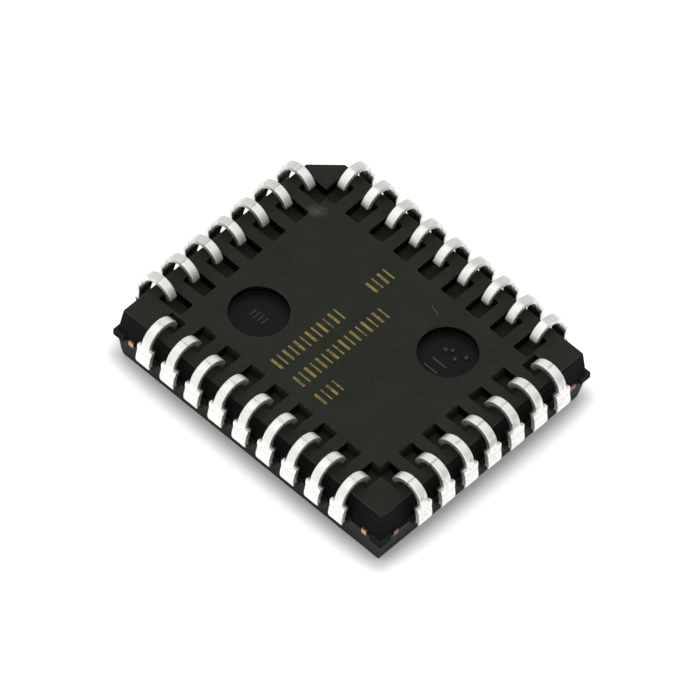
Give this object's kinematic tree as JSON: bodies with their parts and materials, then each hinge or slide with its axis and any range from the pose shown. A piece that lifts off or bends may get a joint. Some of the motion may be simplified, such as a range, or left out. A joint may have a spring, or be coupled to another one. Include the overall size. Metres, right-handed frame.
{
  "type": "plastic leaded chip carrier",
  "caption": "Rectangular plastic leaded chip carrier with J-shaped leads on every side, a pocket under each lead and one cut index corner; a surface-mount or socketed integrated circuit.",
  "frame": {"origin": "centre of the marked face, on which the part lies", "axes": "+X along the long side, +Y along the short side, +Z from the marked face to the lead side"},
  "size_m": [0.015, 0.0126, 0.0034],
  "materials": {
    "resin": "fine matte moulded",
    "tinned_lead": "satin tin plate",
    "copper": "bare copper",
    "die_adhesive": "silver filled",
    "silicon": "polished",
    "gold_wire": "drawn"
  },
  "bodies": {
    "root": {"mould_body": "resin", "die_paddle": "copper", "die_attach": "die_adhesive", "silicon_die": "silicon", "bond_wires_front": "gold_wire", "bond_wires_right": "gold_wire", "bond_wires_back": "gold_wire", "bond_wires_left": "gold_wire", "lead_01": "tinned_lead", "lead_02": "tinned_lead", "lead_03": "tinned_lead", "lead_04": "tinned_lead", "lead_05": "tinned_lead", "lead_06": "tinned_lead", "lead_07": "tinned_lead", "lead_08": "tinned_lead", "lead_09": "tinned_lead", "lead_10": "tinned_lead", "lead_11": "tinned_lead", "lead_12": "tinned_lead", "lead_13": "tinned_lead", "lead_14": "tinned_lead", "lead_15": "tinned_lead", "lead_16": "tinned_lead", "lead_17": "tinned_lead", "lead_18": "tinned_lead", "lead_19": "tinned_lead", "lead_20": "tinned_lead", "lead_21": "tinned_lead", "lead_22": "tinned_lead", "lead_23": "tinned_lead", "lead_24": "tinned_lead", "lead_25": "tinned_lead", "lead_26": "tinned_lead", "lead_27": "tinned_lead", "lead_28": "tinned_lead", "lead_29": "tinned_lead", "lead_30": "tinned_lead", "lead_31": "tinned_lead", "lead_32": "tinned_lead"}
  },
  "joints": []
}
